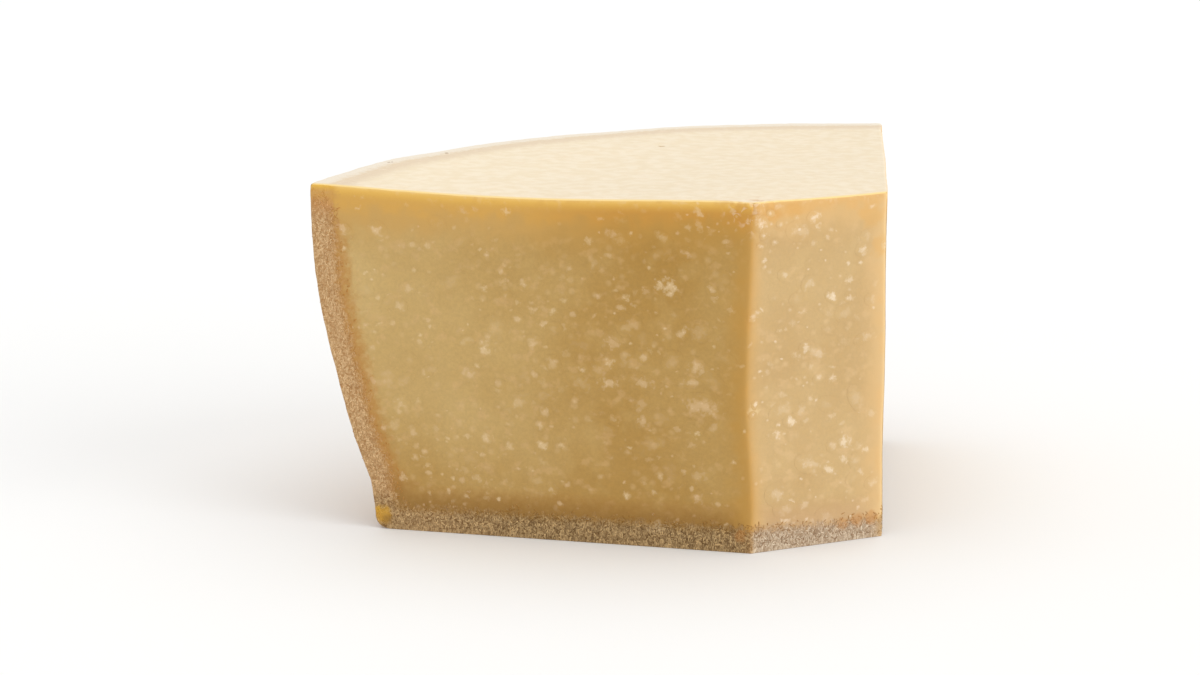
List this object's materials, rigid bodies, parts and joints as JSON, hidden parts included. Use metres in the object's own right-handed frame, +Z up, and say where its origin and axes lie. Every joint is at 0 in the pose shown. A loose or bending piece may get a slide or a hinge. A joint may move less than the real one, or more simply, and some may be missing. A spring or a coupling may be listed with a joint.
{
  "type": "aged hard cheese wedge",
  "caption": "Wedge of hard aged cheese cut from the lower half of a wheel: upright cut faces, a cut-off tip, a level cut top, and rind on the curved side and underside.",
  "frame": {"origin": "on the surface that the wedge stands on, under the middle of its bounding box", "axes": "+Z up, from the rind underside to the level cut top. The front upright cut faces -Y and lies in a plane of constant Y. -X points along it from the cut-off tip towards the rind"},
  "size_m": [0.2022, 0.2016, 0.1253],
  "materials": {
    "paste": "cut cheese, satin, slightly translucent, straw yellow",
    "rind": "dry golden brown rind, matt",
    "crystal": "pale ripening crystals in the cut faces, matt"
  },
  "bodies": {
    "root": {"cheese_wedge": "paste"}
  },
  "joints": []
}
